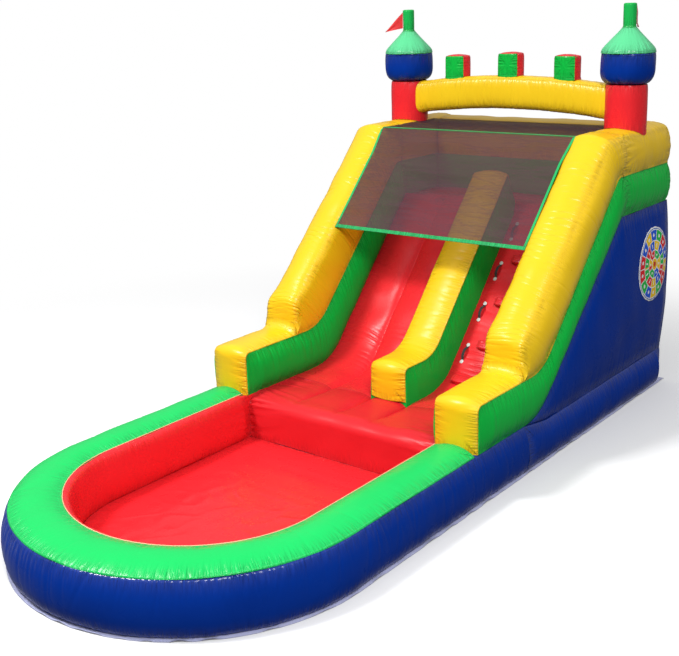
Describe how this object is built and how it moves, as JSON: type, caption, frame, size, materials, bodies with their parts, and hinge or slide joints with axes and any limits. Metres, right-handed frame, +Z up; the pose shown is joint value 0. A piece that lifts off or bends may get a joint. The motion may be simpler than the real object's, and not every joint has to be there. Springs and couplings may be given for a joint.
{
  "type": "inflatable water slide",
  "caption": "Castle-shaped inflatable water slide with a round-ended splash pool, a sliding lane and a climbing lane to a netted platform.",
  "frame": {"origin": "on the ground, under the middle of the object's outermost sizes", "axes": "+X to the right of someone who faces the slide from the pool, +Y from the pool to the towers and the rear, +Z up"},
  "size_m": [2.901, 6.9678, 3.64],
  "materials": {
    "sheet": "satin",
    "blue_vinyl": "glossy coated fabric",
    "light_green_vinyl": "glossy coated fabric",
    "green_vinyl": "glossy coated fabric",
    "red_vinyl": "glossy coated fabric",
    "yellow_vinyl": "glossy coated fabric",
    "white_vinyl": "glossy coated fabric",
    "printed_vinyl": "glossy coated fabric",
    "net": "matte",
    "webbing": "matte",
    "steel": "polished"
  },
  "bodies": {
    "inflated_body": {"ground_sheet": "sheet", "pool_side": "blue_vinyl", "pool_top": "light_green_vinyl", "pool_inner_wall": "red_vinyl", "pool_floor": "red_vinyl", "landing_pad": "red_vinyl", "slide_lane": "red_vinyl", "climb_lane": "red_vinyl", "platform_floor": "red_vinyl", "divider_core": "green_vinyl", "divider_cover": "yellow_vinyl", "base_tube": "blue_vinyl", "side_panel_left": "blue_vinyl", "side_panel_right": "blue_vinyl", "rear_panel": "blue_vinyl", "wall_bar_left": "green_vinyl", "wall_bar_right": "green_vinyl", "arm_cover_left": "yellow_vinyl", "arm_cover_right": "yellow_vinyl", "slope_tube_left": "yellow_vinyl", "slope_tube_right": "yellow_vinyl", "rail_left": "yellow_vinyl", "rail_right": "yellow_vinyl", "rail_rear": "yellow_vinyl", "wall_band_left": "green_vinyl", "wall_band_right": "green_vinyl", "wall_band_rear": "green_vinyl", "front_net": "net", "net_binding": "light_green_vinyl", "roof_net": "net", "tower_post_left": "red_vinyl", "tower_post_right": "red_vinyl", "tower_drum_left": "blue_vinyl", "tower_drum_right": "blue_vinyl", "tower_cone_left": "light_green_vinyl", "tower_cone_right": "light_green_vinyl", "arch": "yellow_vinyl", "merlon_left": "green_vinyl", "merlon_middle": "green_vinyl", "merlon_right": "green_vinyl", "side_disc": "printed_vinyl", "climb_step_1": "red_vinyl", "climb_step_2": "red_vinyl", "climb_step_3": "red_vinyl", "climb_step_4": "red_vinyl", "climb_handle_1": "webbing", "climb_handle_2": "webbing", "climb_handle_3": "webbing", "climb_handle_4": "webbing", "inflation_sleeve": "blue_vinyl", "zip_tape": "webbing", "anchor_loop_left": "webbing", "anchor_loop_right": "webbing", "inner_baffles": "white_vinyl"},
    "left_flag": {"flag_left": "red_vinyl"},
    "right_flag": {"flag_right": "red_vinyl"},
    "zip_runner": {"zip_slider": "steel"},
    "flap": {"zip_flap": "blue_vinyl"},
    "left_anchor_ring": {"anchor_ring_left": "steel"},
    "right_anchor_ring": {"anchor_ring_right": "steel"}
  },
  "joints": [
    {"name": "flag_left_swing", "type": "hinge", "parent": "inflated_body", "child": "left_flag", "pos_m": [-1.24524, 2.32304, 3.445], "axis": [0, 0, 1], "range_deg": [-80, 80]},
    {"name": "flag_right_swing", "type": "hinge", "parent": "inflated_body", "child": "right_flag", "pos_m": [1.23744, 2.38232, 3.445], "axis": [0, 0, 1], "range_deg": [-150, 10]},
    {"name": "zip_slide", "type": "slide", "parent": "inflated_body", "child": "zip_runner", "axis": [1, 0, 0], "range_m": [0, 0.6]},
    {"name": "zip_flap_hinge", "type": "hinge", "parent": "inflated_body", "child": "flap", "pos_m": [0, 3.00172, 1.105], "axis": [1, 0, 0], "range_deg": [0, 110]},
    {"name": "anchor_ring_left_hinge", "type": "hinge", "parent": "inflated_body", "child": "left_anchor_ring", "pos_m": [-1.18, 2.99092, 0.0071], "axis": [1, 0, 0], "range_deg": [0, 150]},
    {"name": "anchor_ring_right_hinge", "type": "hinge", "parent": "inflated_body", "child": "right_anchor_ring", "pos_m": [1.18, 2.99092, 0.0071], "axis": [1, 0, 0], "range_deg": [0, 150]}
  ]
}
